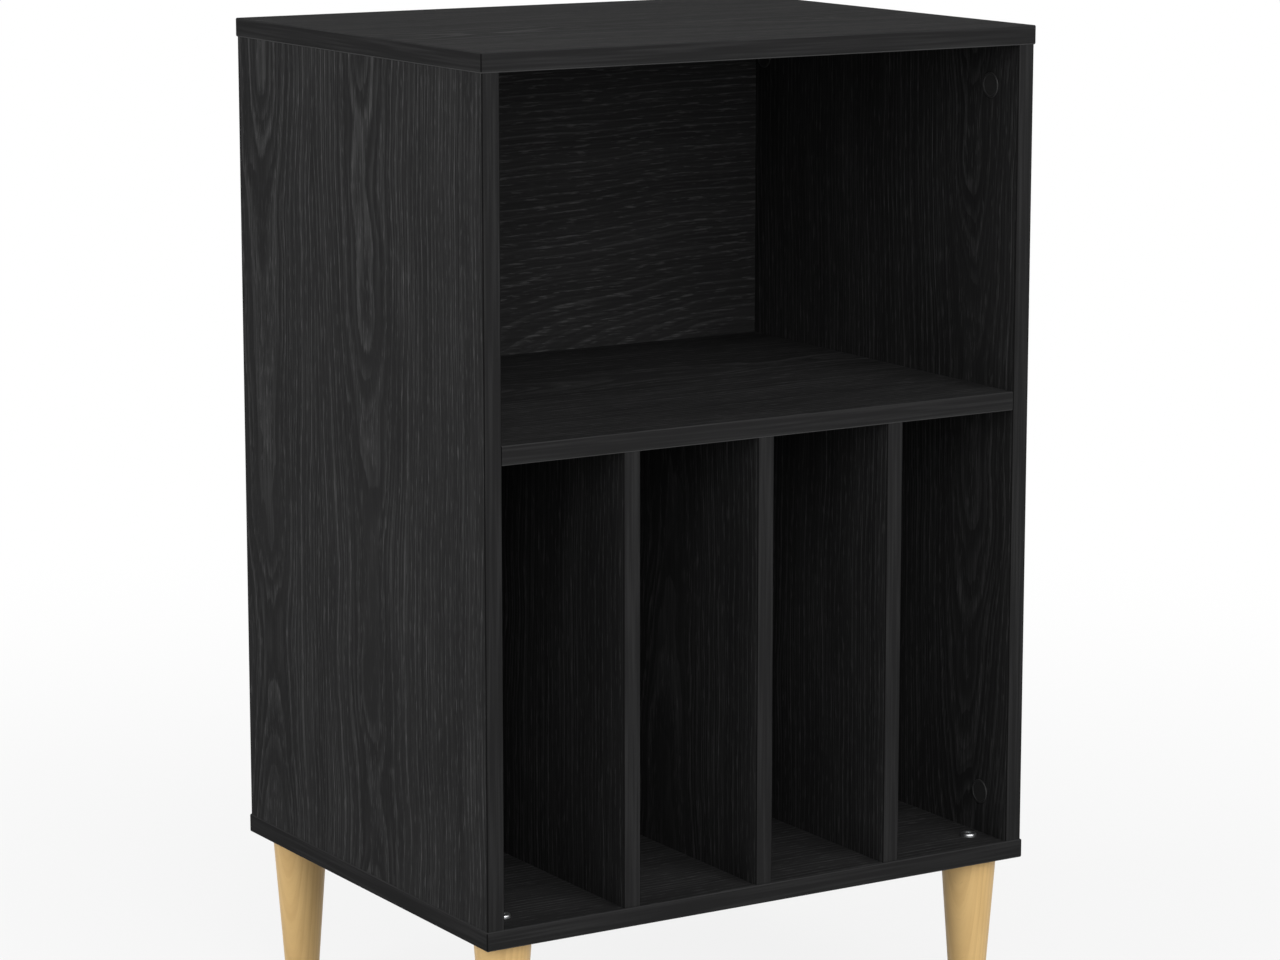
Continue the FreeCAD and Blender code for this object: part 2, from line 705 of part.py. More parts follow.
def write_nodes(nodes):
    """Check every object and shape, then write one file for each node."""
    doc.recompute()
    failed = [item.Label for item in doc.Objects if {"Invalid", "Error"} & set(item.State)]
    failed += [node.Label for node in nodes if node.Shape.isNull() or not node.Shape.isValid()]
    if failed:
        raise RuntimeError(f"not built: {failed}")
    os.makedirs("parts", exist_ok=True)
    for node in nodes:
        node.Shape.exportStep(os.path.join("parts", f"{node.Label}.step"))
        print(f"{node.Label}: {len(node.Shape.Solids)} solids, {node.Shape.Volume:.0f} mm3")


fill_sheet()
write_nodes(make_stand())
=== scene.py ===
# Looks of a flat-pack black-oak stand on turned wooden legs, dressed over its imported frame.
from collections import namedtuple
import json
import math
import bmesh
import bpy
from mathutils import Matrix, Vector


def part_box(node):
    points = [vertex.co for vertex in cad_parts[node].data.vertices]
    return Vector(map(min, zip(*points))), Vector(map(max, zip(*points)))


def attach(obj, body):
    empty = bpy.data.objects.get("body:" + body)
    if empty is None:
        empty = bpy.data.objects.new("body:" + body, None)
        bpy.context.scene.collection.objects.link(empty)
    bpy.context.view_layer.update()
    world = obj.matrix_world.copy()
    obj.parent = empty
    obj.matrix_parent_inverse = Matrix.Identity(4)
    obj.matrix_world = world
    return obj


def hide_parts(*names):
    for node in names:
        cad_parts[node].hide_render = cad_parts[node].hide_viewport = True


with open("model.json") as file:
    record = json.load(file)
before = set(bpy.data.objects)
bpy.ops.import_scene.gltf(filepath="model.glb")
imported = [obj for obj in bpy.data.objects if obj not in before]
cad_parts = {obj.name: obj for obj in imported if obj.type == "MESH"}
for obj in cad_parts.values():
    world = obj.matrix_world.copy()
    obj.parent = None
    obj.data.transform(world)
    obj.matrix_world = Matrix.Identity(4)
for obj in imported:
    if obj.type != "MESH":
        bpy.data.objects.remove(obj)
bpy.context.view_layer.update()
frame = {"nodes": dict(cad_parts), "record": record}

NODES = frame["nodes"]
BODY = "root"
MM = 0.001
X, Y, Z = range(3)
LOW, HIGH = range(2)
WHITE = (1, 1, 1, 1)

# Shader graphs

# Places of the mix nodes' sockets
MIX_SHARE = 0
MIX_SHADERS = (1, 2)
MIX_NUMBERS = (2, 3)
MIX_COLORS = (6, 7)
NUMBER_RESULT = 0
COLOR_RESULT = 2
# Noise runs from zero to one about its middle
NOISE_MIDDLE = 0.5
NOISE_DETAIL = 2.0
FINE_DETAIL = 3.0


class Graph:
    """Adds shader nodes to one tree and wires them."""

    def __init__(self, tree):
        self.tree = tree
        tree.nodes.clear()

    def feed(self, socket, value):
        """Link a socket, or set its constant."""
        if isinstance(value, bpy.types.NodeSocket):
            self.tree.links.new(value, socket)
        else:
            socket.default_value = value

    def node(self, kind, inputs=None, **settings):
        """New node with its settings and inputs."""
        made = self.tree.nodes.new(kind)
        for name, value in settings.items():
            setattr(made, name, value)
        for name, value in (inputs or {}).items():
            self.feed(made.inputs[name], value)
        return made

    def math(self, operation, *values):
        """Result of a math node."""
        made = self.node("ShaderNodeMath", operation=operation)
        for socket, value in zip(made.inputs, values):
            self.feed(socket, value)
        return made.outputs[0]

    def weighted(self, level, *terms):
        """Sum of a level and of values, each times its weight."""
        total = level
        for value, weight in terms:
            total = self.math("MULTIPLY_ADD", value, weight, total)
        return total

    def remap(self, value, low, high, start=0.0, end=1.0):
        """Smooth step of a value from one range to another."""
        made = self.node("ShaderNodeMapRange", {"Value": value, "From Min": low, "From Max": high,
                                                "To Min": start, "To Max": end},
                         interpolation_type="SMOOTHSTEP")
        return made.outputs["Result"]

    def mix(self, kind, sockets, share, values, **settings):
        """Outputs of a mix node whose two values go to a pair of its sockets."""
        inputs = {MIX_SHARE: share}
        inputs.update(zip(sockets, values))
        return self.node(kind, inputs, **settings).outputs

    def blend(self, share, *numbers):
        """Number between two others."""
        return self.mix("ShaderNodeMix", MIX_NUMBERS, share, numbers, data_type="FLOAT")[NUMBER_RESULT]

    def tint(self, share, *colors):
        """Colour between two others."""
        return self.mix("ShaderNodeMix", MIX_COLORS, share, colors, data_type="RGBA")[COLOR_RESULT]

    def mix_shaders(self, share, *shaders):
        """Surface or light between two others."""
        outputs = [shader.outputs[0] for shader in shaders]
        return self.mix("ShaderNodeMixShader", MIX_SHADERS, share, outputs)[0]

    def vector(self, x, y, z):
        """Vector from three numbers."""
        return self.node("ShaderNodeCombineXYZ", {"X": x, "Y": y, "Z": z}).outputs[0]

    def split(self, vector):
        """Three numbers of a vector."""
        return self.node("ShaderNodeSeparateXYZ", {"Vector": vector}).outputs

    def place(self):
        """Place on the object, as a vector."""
        return self.node("ShaderNodeTexCoord").outputs["Object"]

    def noise(self, place, scale, detail):
        """Cloudy noise."""
        made = self.node("ShaderNodeTexNoise", {"Vector": place, "Scale": scale, "Detail": detail})
        return made.outputs["Fac"]

    def streaks(self, across, along, seed, size, detail=NOISE_DETAIL):
        """Noise drawn out along the grain, with features of a given width and length."""
        width, length = size
        place = self.vector(self.math("DIVIDE", across, width), self.math("DIVIDE", along, length), seed)
        return self.noise(place, 1.0, detail)

    def centred(self, across, along, seed, size, detail=NOISE_DETAIL):
        """Streaks about zero."""
        return self.math("SUBTRACT", self.streaks(across, along, seed, size, detail), NOISE_MIDDLE)

    def drift(self, across, along, seed, size, reach):
        """Streaks about zero that reach a distance to either side."""
        return self.math("MULTIPLY", self.centred(across, along, seed, size), reach / NOISE_MIDDLE)

    def ring_lines(self, distance, pitch, rise, fall):
        """Ring position from zero to one, and a line that rises and falls within each ring."""
        ring = self.math("FRACT", self.math("DIVIDE", distance, pitch))
        return ring, self.math("MULTIPLY", self.remap(ring, *rise), self.remap(ring, *fall))


def new_material(name):
    """Empty node material and its graph."""
    material = bpy.data.materials.new(name)
    material.use_nodes = True
    return material, Graph(material.node_tree)


def finish_material(graph, color, height, depth, **constants):
    """Principled surface from a colour, a height for its bump and constant settings."""
    bump = graph.node("ShaderNodeBump", {"Height": height, "Strength": 1.0, "Distance": depth})
    surface = graph.node("ShaderNodeBsdfPrincipled", {"Base Color": color, "Normal": bump.outputs[0]})
    for name, value in constants.items():
        graph.feed(surface.inputs[name.replace("_", " ")], value)
    graph.node("ShaderNodeOutputMaterial", {"Surface": surface.outputs[0]})


def set_material(piece, material):
    """One material over a whole piece."""
    piece.data.materials.clear()
    piece.data.materials.append(material)


# Black oak

# How a board is cut: the axis square to its face, the axis along its grain, the heart of its figure as a
# share of its breadth, the crest as a share of its length, the distance after which the figure repeats as
# a share of its breadth, and the slope at which the rings lean off the crest
Board = namedtuple("Board", "face grain heart_share crest_share repeat_share lean")
BOARDS = {
    "top_panel": Board(Z, X, 0.40, 0.20, 0.45, 0.045),
    "bottom_panel": Board(Z, X, 0.65, 0.75, 0.50, 0.045),
    "middle_shelf": Board(Z, X, 0.55, 0.85, 0.50, 0.045),
    "left_side_panel": Board(X, Z, 0.45, 0.20, 0.22, 0.036),
    "right_side_panel": Board(X, Z, 0.14, -0.10, 0.80, 0.045),
    "left_divider": Board(X, Z, 0.55, 0.10, 0.30, 0.036),
    "centre_divider": Board(X, Z, 0.35, 0.90, 0.30, 0.036),
    "right_divider": Board(X, Z, 0.60, 0.30, 0.30, 0.036),
    "upper_back_panel": Board(Y, X, -0.06, 1.10, 2.00, -0.090),
    "lower_back_panel": Board(Y, X, 0.45, -0.10, 0.60, 0.075),
}
BACKS = ("upper_back_panel", "lower_back_panel")
FIRST_SEED = 1.0
SEED_STEP = 11.7
LEAF_STEP = 5.3

OAK_DARK = (0.0145, 0.0145, 0.0147, 1)
OAK_LIGHT = (0.0590, 0.0590, 0.0595, 1)
OAK_SEAM = (0.0060, 0.0060, 0.0060, 1)
OAK_BUMP = 0.10 * MM

# Rings about the heart line: where it lies, how it is crested, and where a line rises and falls
HEART_DEPTH = 80 * MM
CREST_WIDTH = 60 * MM
RING_PITCH = 5.6 * MM
RING_RISE = (0.60, 0.90)
FINE_PITCH = 2.3 * MM
FINE_RISE = (0.30, 0.90)
RING_FALL = (0.92, 1.0, 1.0, 0.0)

# Waves in the rings: width and length of a wave, and its reach. The sway varies along the grain alone
# and the unevenness across the rings alone.
SWAY_SIZE = (1.0, 280 * MM)
SWAY_REACH = 9 * MM
BULGE_SIZE = (150 * MM, 240 * MM)
BULGE_REACH = 12 * MM
UNEVEN_SIZE = (26 * MM, 1.0)
UNEVEN_REACH = 6 * MM
RIPPLE_SIZE = (14 * MM, 80 * MM)
RIPPLE_REACH = 1.5 * MM

# Breaks in the lines, pores, fibre and tone: width and length of a streak, and the range it is read over
BOLD_SIZE = (8 * MM, 300 * MM)
BOLD_RANGE = (0.38, 0.62, 0.25, 1.0)
DASH_SIZE = (2.2 * MM, 70 * MM)
DASH_RANGE = (0.34, 0.62, 0.25, 1.0)
PATCH_SIZE = (30 * MM, 160 * MM)
PATCH_RANGE = (0.36, 0.62, 0.1, 1.0)
PORE_SIZE = (1.3 * MM, 15 * MM)
PORE_RANGE = (0.54, 0.68)
PORE_RING_RANGE = (0.2, 0.8, 0.2, 1.0)
FIBRE_SIZE = (1.2 * MM, 140 * MM)
TONE_SIZE = (17 * MM, 500 * MM)
BAND_SIZE = (2.4 * MM, 120 * MM)
BAND_RANGE = (0.40, 0.70)

# Weights of ring lines, fine lines and pores in the figure of a board and of a back panel
BOARD_WEIGHTS = (0.42, 0.34, 0.44)
BACK_WEIGHTS = (0.30, 0.10, 0.55)
FIBRE_WEIGHT = 0.26
TONE_WEIGHT = 0.22
BAND_WEIGHT = 0.16
FACE_LEVEL = 0.05

# Slopes past which a surface counts as flat, as an end of the grain or as level, and how much an eased edge
# that runs level is lightened, from one that faces down to one that faces up: a painted highlight,
# strongest on edges that face down away from the lamps, over a little wear of the scraped edge
FLAT_SLOPE = 0.9
END_SLOPE = 0.5
LEVEL_SLOPE = 0.3
WEAR_AND_HIGHLIGHT_RANGE = (-0.7, 0.7, 0.9, 0.2)


def oak_radius(graph, across, along, seed, name, side):
    """Distance to the tree's heart line, which lies under the face and dips away from its crest."""
    board = BOARDS[name]
    low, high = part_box(name)
    breadth = high[side] - low[side]
    heart = low[side] + board.heart_share * breadth
    crest = low[board.grain] + board.crest_share * (high[board.grain] - low[board.grain])
    sway = graph.drift(0.0, along, seed, SWAY_SIZE, SWAY_REACH)
    offset = graph.math("ADD", graph.math("SUBTRACT", across, heart), sway)
    before = graph.math("MULTIPLY", offset, -1.0)
    repeated = graph.math("PINGPONG", offset, board.repeat_share * breadth)
    offset = graph.math("MAXIMUM", before, repeated)
    run = graph.math("SUBTRACT", along, crest)
    ridge = graph.math("SQRT", graph.math("MULTIPLY_ADD", run, run, CREST_WIDTH ** 2))
    bulge = graph.drift(across, along, seed, BULGE_SIZE, BULGE_REACH)
    depth = graph.math("MULTIPLY_ADD", ridge, -board.lean, graph.math("ADD", bulge, HEART_DEPTH))
    depth = graph.math("MULTIPLY", depth, depth)
    radius = graph.math("SQRT", graph.math("MULTIPLY_ADD", offset, offset, depth))
    uneven = graph.drift(radius, 0.0, seed, UNEVEN_SIZE, UNEVEN_REACH)
    ripple = graph.drift(across, along, seed, RIPPLE_SIZE, RIPPLE_REACH)
    return graph.math("ADD", radius, graph.math("ADD", uneven, ripple))


def oak_figure(graph, across, along, seed, radius, weights):
    """Flat-sawn figure: light lines at the ends of the rings, finer lines between them, and pores."""
    bold = graph.remap(graph.streaks(radius, along, seed, BOLD_SIZE), *BOLD_RANGE)
    dashes = graph.remap(graph.streaks(across, along, seed, DASH_SIZE), *DASH_RANGE)
    patches = graph.remap(graph.streaks(across, along, seed, PATCH_SIZE), *PATCH_RANGE)
    ring, line = graph.ring_lines(radius, RING_PITCH, RING_RISE, RING_FALL)
    line = graph.math("MULTIPLY", line, graph.math("MULTIPLY", bold, dashes))
    _, fine = graph.ring_lines(radius, FINE_PITCH, FINE_RISE, RING_FALL)
    fine = graph.math("MULTIPLY", fine, graph.math("MULTIPLY", patches, dashes))
    pores = graph.remap(graph.streaks(across, along, seed, PORE_SIZE), *PORE_RANGE)
    pores = graph.math("MULTIPLY", pores, graph.remap(ring, *PORE_RING_RANGE))
    fibre = graph.centred(across, along, seed, FIBRE_SIZE)
    tone = graph.centred(radius, along, seed, TONE_SIZE)
    return graph.weighted(FACE_LEVEL, (fibre, FIBRE_WEIGHT), (tone, TONE_WEIGHT),
                          *zip((line, fine, pores), weights))


def oak_band(graph, across, along, seed):
    """Straight fine lines of an edge band."""
    lines = graph.remap(graph.streaks(across, along, seed, BAND_SIZE), *BAND_RANGE)
    return graph.math("MULTIPLY", lines, BAND_WEIGHT)


def arris_shares(graph, slopes):
    """Shares of the eased edges that run level and of those that stand upright."""
    squarest = graph.math("MAXIMUM", slopes[X], graph.math("MAXIMUM", slopes[Y], slopes[Z]))
    arris = graph.math("LESS_THAN", squarest, FLAT_SLOPE)
    level = graph.math("MULTIPLY", arris, graph.math("GREATER_THAN", slopes[Z], LEVEL_SLOPE))
    return level, graph.math("SUBTRACT", arris, level)


def board_material(name, seed):
    """Black-oak foil whose grain follows one board and its edge bands, with a painted highlight over slight
    wear on its level eased edges and dark seams on its upright ones.
    """
    face, grain = BOARDS[name].face, BOARDS[name].grain
    side = next(axis for axis in (X, Y, Z) if axis not in (face, grain))
    material, graph = new_material(f"black_oak_{name}")
    place = graph.split(graph.place())
    normal = graph.split(graph.node("ShaderNodeNewGeometry").outputs["True Normal"])
    slopes = [graph.math("ABSOLUTE", normal[axis]) for axis in (X, Y, Z)]
    on_face = graph.math("GREATER_THAN", slopes[face], FLAT_SLOPE)
    on_end = graph.math("GREATER_THAN", slopes[grain], END_SLOPE)
    across = graph.blend(on_face, place[face], place[side])
    along = graph.blend(on_end, place[grain], place[side])
    leaf = graph.math("MULTIPLY_ADD", graph.math("GREATER_THAN", normal[face], 0.0), LEAF_STEP, seed)
    radius = oak_radius(graph, across, along, leaf, name, side)
    weights = BACK_WEIGHTS if name in BACKS else BOARD_WEIGHTS
    figure = oak_figure(graph, across, along, leaf, radius, weights)
    light = graph.blend(on_face, oak_band(graph, across, along, leaf), figure)
    level_arris, upright_arris = arris_shares(graph, slopes)
    # Painted highlight on the level eased edges, strongest where they face down, over a little wear of the
    # scraped edge
    light = graph.math("MULTIPLY_ADD", level_arris, graph.remap(normal[Z], *WEAR_AND_HIGHLIGHT_RANGE), light)
    color = graph.tint(upright_arris, graph.tint(light, OAK_DARK, OAK_LIGHT), OAK_SEAM)
    finish_material(graph, color, light, OAK_BUMP, Roughness=0.58, Specular_IOR_Level=0.002)
    return material


def dress_boards():
    """Give every board its own black oak."""
    for index, name in enumerate(BOARDS):
        set_material(NODES[name], board_material(name, FIRST_SEED + SEED_STEP * index))


# Leg wood

LEG_DARK = (0.43, 0.268, 0.102, 1)
LEG_LIGHT = (0.62, 0.418, 0.179, 1)
LEG_BUMP = 0.05 * MM
# Share of the depth that slants the grain across a leg, and the seeds and sizes of what runs up it
LEG_SLANT_SHARE = 0.62
LEG_SWAY_SEED = 3.0
LEG_SWAY_SIZE = (9 * MM, 120 * MM)
LEG_SWAY_REACH = 2.5 * MM
LEG_RING_PITCH = 4.6 * MM
LEG_RING_RISE = (0.2, 0.85)
LEG_RING_FALL = (0.86, 1.0, 1.0, 0.0)
LEG_FIBRE_SEED = 1.0
LEG_FIBRE_SIZE = (0.7 * MM, 26 * MM)
LEG_FLECK_SEED = 7.0
LEG_FLECK_SIZE = (0.5 * MM, 5 * MM)
LEG_FLECK_RANGE = (0.62, 0.74)
LEG_TONE_SEED = 5.0
LEG_TONE_SIZE = (14 * MM, 90 * MM)
# How dark the wood is by itself, and what its rings, flecks, tone and fibre add
LEG_LEVEL = 0.25
LEG_RING_WEIGHT = 0.25
LEG_FLECK_WEIGHT = 0.20
LEG_TONE_WEIGHT = 0.9
LEG_FIBRE_WEIGHT = 0.5


def leg_material():
    """Clear-lacquered pale wood with straight grain up the leg."""
    material, graph = new_material("leg_wood")
    x, y, z = graph.split(graph.place())
    slant = graph.math("MULTIPLY_ADD", y, LEG_SLANT_SHARE, x)
    sway = graph.drift(slant, z, LEG_SWAY_SEED, LEG_SWAY_SIZE, LEG_SWAY_REACH)
    across = graph.math("ADD", slant, sway)
    _, late = graph.ring_lines(across, LEG_RING_PITCH, LEG_RING_RISE, LEG_RING_FALL)
    fibre = graph.centred(across, z, LEG_FIBRE_SEED, LEG_FIBRE_SIZE, FINE_DETAIL)
    flecks = graph.remap(graph.streaks(across, z, LEG_FLECK_SEED, LEG_FLECK_SIZE), *LEG_FLECK_RANGE)
    tone = graph.centred(across, z, LEG_TONE_SEED, LEG_TONE_SIZE)
    dark = graph.weighted(LEG_LEVEL, (flecks, LEG_FLECK_WEIGHT), (late, LEG_RING_WEIGHT),
                          (tone, LEG_TONE_WEIGHT), (fibre, LEG_FIBRE_WEIGHT))
    color = graph.tint(dark, LEG_LIGHT, LEG_DARK)
    finish_material(graph, color, fibre, LEG_BUMP, Roughness=0.45, Specular_IOR_Level=0.3)
    return material


# Hardware

PLASTIC_DARK = (0.012, 0.012, 0.012, 1)
PLASTIC_LIGHT = (0.03, 0.03, 0.03, 1)
PLASTIC_GRAIN = 0.4 * MM
PLASTIC_BUMP = 0.03 * MM
ZINC_DARK = (0.42, 0.43, 0.44, 1)
ZINC_LIGHT = (0.62, 0.63, 0.63, 1)
ZINC_GRAIN = 0.5 * MM
ZINC_BUMP = 0.01 * MM
BEECH_DARK = (0.55, 0.38, 0.21, 1)
BEECH_LIGHT = (0.72, 0.55, 0.35, 1)
BEECH_GRAIN = 0.6 * MM
BEECH_BUMP = 0.03 * MM
BROAD_SCALE_SHARE = 0.06


def grained_material(name, dark, light, grain, depth, **constants):
    """Moulded, plated or cut surface: fine even grain in its colour and bump, and broad clouds."""
    material, graph = new_material(name)
    place = graph.place()
    fine = graph.noise(place, 1 / grain, FINE_DETAIL)
    broad = graph.noise(place, BROAD_SCALE_SHARE / grain, NOISE_DETAIL)
    average = graph.math("MULTIPLY", graph.math("ADD", fine, broad), 1 / 2)
    finish_material(graph, graph.tint(average, dark, light), fine, depth, **constants)
    return material


def plastic_material():
    """Black plastic of the cover caps and the glides."""
    return grained_material("black_plastic", PLASTIC_DARK, PLASTIC_LIGHT, PLASTIC_GRAIN, PLASTIC_BUMP,
                            Roughness=0.5, Specular_IOR_Level=0.25)


def zinc_material():
    """Zinc plate of the metal fittings."""
    return grained_material("zinc_plate", ZINC_DARK, ZINC_LIGHT, ZINC_GRAIN, ZINC_BUMP,
                            Roughness=0.35, Metallic=1.0)


def beech_material():
    """Raw beech of the dowels."""
    return grained_material("dowel_beech", BEECH_DARK, BEECH_LIGHT, BEECH_GRAIN, BEECH_BUMP, Roughness=0.6)


def dress_fittings(finishes):
    """Give every fitting the finish of its slot."""
    for row in frame["record"]["subparts"]:
        if row["material_slot"] in finishes:
            set_material(NODES[row["node"]], finishes[row["material_slot"]])


# Turned and moulded pieces

SEGMENTS = 96
SMOOTH_ANGLE = math.radians(35)
# Directions at the ends of an arc, in degrees
DOWN, OUT, UP = -90, 0, 90
ARC_STEPS = 6
FACE_DOWN = Matrix.Rotation(math.pi, 4, "X")
FACE_RIGHT = Matrix.Rotation(math.pi / 2, 4, "Y")
FACE_LEFT = Matrix.Rotation(-math.pi / 2, 4, "Y")
LEG_ROWS = ("front", "rear")
LEG_SIDES = ("left", "right")
PAIR = 2
DIVIDERS = 3

LEG_FOOT_RADIUS = 13.5 * MM
LEG_FOOT_EASE = 1.5 * MM
BOLT_BORE_RADIUS = 3.1 * MM
BOLT_END_PLAY = 2 * MM
NAIL_BORE_RADIUS = 1.3 * MM
NAIL_END_PLAY = 0.2 * MM
GLIDE_EASE = 1.2 * MM
NAIL_HEAD_RADIUS = 2.5 * MM
NAIL_HEAD_DOME = 0.6 * MM
NAIL_DOME_STEPS = 5
NAIL_RADIUS = 1.2 * MM
NAIL_TIP_RADIUS = 0.2 * MM
NAIL_RECESS_RADIUS = 2.6 * MM
NAIL_RECESS_DEPTH = 1.2 * MM
NAIL_RECESS_EASE = 0.3 * MM
CAP_EASE = 0.6 * MM
CAP_RIM = 1.6 * MM
CAP_DISH = 0.3 * MM
SCREW_RIM_RADIUS = 5.4 * MM
SCREW_RIM = 0.3 * MM
SCREW_HEAD_RADIUS = 4.6 * MM
SCREW_HEAD_HEIGHT = 4 * MM
SCREW_RADIUS = 2.38 * MM
SCREW_NODE_RADIUS = 5 * MM
SCREW_SOCKET_RADIUS = 2.31 * MM
SCREW_SOCKET_DEPTH = 2.5 * MM
INSERT_SOCKET_RADIUS = 2.89 * MM
INSERT_SOCKET_DEPTH = 2 * MM
INSERT_HEAD_HEIGHT = 2.8 * MM
INSERT_CROWN = 1.4 * MM
INSERT_RADIUS = 4.2 * MM
SOCKET_SIDES = 6
SOCKET_RINGS = 2


def arc(radius, height, ease, start, end, steps=ARC_STEPS):
    """Profile points of an arc about a radius and height, from one direction to another."""
    turns = [math.radians(start + (end - start) * step / steps) for step in range(steps + 1)]
    return [(radius + ease * math.cos(turn), height + ease * math.sin(turn)) for turn in turns]


def section(radius, sides):
    """Points of a round ring, or of one with flat sides between corners at that radius."""
    points = []
    for step in range(SEGMENTS):
        angle = math.tau * step / SEGMENTS
        reach = radius
        if sides:
            half = math.pi / sides
            reach = radius * math.cos(half) / math.cos(angle % (2 * half) - half)
        points.append(Vector((reach * math.cos(angle), reach * math.sin(angle), 0)))
    return points


def lathe(name, profile, places, material, replaced, socketed=False, bored=False):
    """Closed turned piece about the Z axis of every place, following its profile.

    The first rings of a socketed piece have the socket's flat sides. A piece that is bored through joins
    its last ring to its first, and any other has a cap on each.
    """
    flat_rings = SOCKET_RINGS if socketed else 0
    shape = bmesh.new()
    for place in places:
        rings = []
        for index, (radius, height) in enumerate(profile):
            points = section(radius, SOCKET_SIDES if index < flat_rings else 0)
            rings.append([shape.verts.new(place @ (point + Vector((0, 0, height)))) for point in points])
        pairs = list(zip(rings, rings[1:]))
        if bored:
            pairs.append((rings[-1], rings[0]))
        else:
            shape.faces.new(reversed(rings[0]))
            shape.faces.new(rings[-1])
        for lower, upper in pairs:
            for step in range(SEGMENTS):
                after = (step + 1) % SEGMENTS
                shape.faces.new((lower[step], lower[after], upper[after], upper[step]))
    mesh = bpy.data.meshes.new(name)
    shape.to_mesh(mesh)
    shape.free()
    mesh.polygons.foreach_set("use_smooth", [True] * len(mesh.polygons))
    mesh.set_sharp_from_angle(angle=SMOOTH_ANGLE)
    piece = bpy.data.objects.new(name, mesh)
    bpy.context.scene.collection.objects.link(piece)
    set_material(piece, material)
    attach(piece, BODY)
    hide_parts(replaced)


def half_size(node, axis):
    """Half of a node's size along an axis."""
    low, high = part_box(node)
    return (high[axis] - low[axis]) / 2


def spread(low, high, radius, count):
    """Evenly spaced centres of round pieces that fill the span between two ends."""
    first = low + radius
    step = (high - radius - first) / (count - 1)
    return [first + step * index for index in range(count)]


def leg_row(row, height=0):
    """Places on the axes of a row's left and right legs, at a height."""
    node = f"{row}_legs"
    low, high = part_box(node)
    radius = half_size(node, Y)
    columns = spread(low[X], high[X], radius, PAIR)
    return [Matrix.Translation((x, low[Y] + radius, height)) for x in columns]


def leg_places(height=0):
    """Places on the four legs' axes, at a height."""
    return [place for row in LEG_ROWS for place in leg_row(row, height)]


def make_legs(material):
    """Four turned legs that taper to an eased foot, drilled for a nail below and a bolt above."""
    nail_bore_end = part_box("glide_nails")[HIGH][Z] + NAIL_END_PLAY
    bolt_bore_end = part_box("leg_hanger_bolts")[LOW][Z] - BOLT_END_PLAY
    for row in LEG_ROWS:
        node = f"{row}_legs"
        low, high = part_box(node)
        profile = [(NAIL_BORE_RADIUS, nail_bore_end), (NAIL_BORE_RADIUS, low[Z])]
        profile += arc(LEG_FOOT_RADIUS - LEG_FOOT_EASE, low[Z] + LEG_FOOT_EASE, LEG_FOOT_EASE, DOWN, OUT)
        profile += [(half_size(node, Y), high[Z])]
        profile += [(BOLT_BORE_RADIUS, high[Z]), (BOLT_BORE_RADIUS, bolt_bore_end)]
        for side, place in zip(LEG_SIDES, leg_row(row)):
            lathe(f"{row}_{side}_leg", profile, [place], material, node)


def make_glides(material):
    """Moulded foot glides with a rounded rim, and a bore and a recess for the nail."""
    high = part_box("foot_glides")[HIGH]
    places = leg_places()
    radius = high[X] - max(place.translation.x for place in places)
    profile = [(NAIL_BORE_RADIUS, high[Z]), (NAIL_BORE_RADIUS, NAIL_RECESS_DEPTH)]
    profile += [(NAIL_RECESS_RADIUS, NAIL_RECESS_DEPTH), (NAIL_RECESS_RADIUS, NAIL_RECESS_EASE)]
    profile += [(NAIL_RECESS_RADIUS + NAIL_RECESS_EASE, 0)]
    profile += arc(radius - GLIDE_EASE, GLIDE_EASE, GLIDE_EASE, DOWN, OUT)
    profile += [(radius, high[Z])]
    lathe("nail_on_glides", profile, places, material, "foot_glides", bored=True)


def make_nails(material):
    """Nails with domed heads, set into the glides."""
    low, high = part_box("glide_nails")
    unit_dome = arc(0, 1, 1, DOWN, OUT, NAIL_DOME_STEPS)
    profile = [(NAIL_TIP_RADIUS, low[Z])]
    profile += [(NAIL_HEAD_RADIUS * reach, low[Z] + NAIL_HEAD_DOME * rise) for reach, rise in unit_dome[1:]]
    profile += [(NAIL_HEAD_RADIUS, NAIL_RECESS_DEPTH), (NAIL_RADIUS, NAIL_RECESS_DEPTH)]
    profile += [(NAIL_RADIUS, high[Z] - NAIL_HEAD_RADIUS), (NAIL_TIP_RADIUS, high[Z])]
    lathe("glide_nail_set", profile, leg_places(), material, "glide_nails")


def cap_profile(radius, thickness):
    """Profile of a dished cover cap, from the face that it lies on outwards."""
    inside = radius - CAP_RIM
    profile = [(radius, 0)] + arc(radius - CAP_EASE, thickness - CAP_EASE, CAP_EASE, OUT, UP)
    return profile + [(inside, thickness), (inside - CAP_DISH, thickness - CAP_DISH)]


def make_caps(material):
    """Cover caps over the cam locks, facing down from the shelf and into the compartments."""
    low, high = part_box("shelf_cam_caps")
    under_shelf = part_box("middle_shelf")[LOW][Z]
    radius = half_size("top_cam_caps", Z)
    profile = cap_profile(radius, under_shelf - low[Z])
    columns = spread(low[X], high[X], radius, PAIR)
    rows = spread(low[Y], high[Y], radius, PAIR)
    places = [Matrix.Translation((x, y, under_shelf)) @ FACE_DOWN for x in columns for y in rows]
    lathe("shelf_cover_caps", profile, places, material, "shelf_cam_caps")
    left_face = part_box("left_side_panel")[HIGH][X]
    right_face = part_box("right_side_panel")[LOW][X]
    for level in ("top", "bottom"):
        node = f"{level}_cam_caps"
        low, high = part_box(node)
        rows = spread(low[Y], high[Y], radius, PAIR)
        places = [Matrix.Translation((x, y, low[Z] + radius)) @ turn
                  for x, turn in ((left_face, FACE_RIGHT), (right_face, FACE_LEFT)) for y in rows]
        lathe(f"{level}_cover_caps", profile, places, material, node)


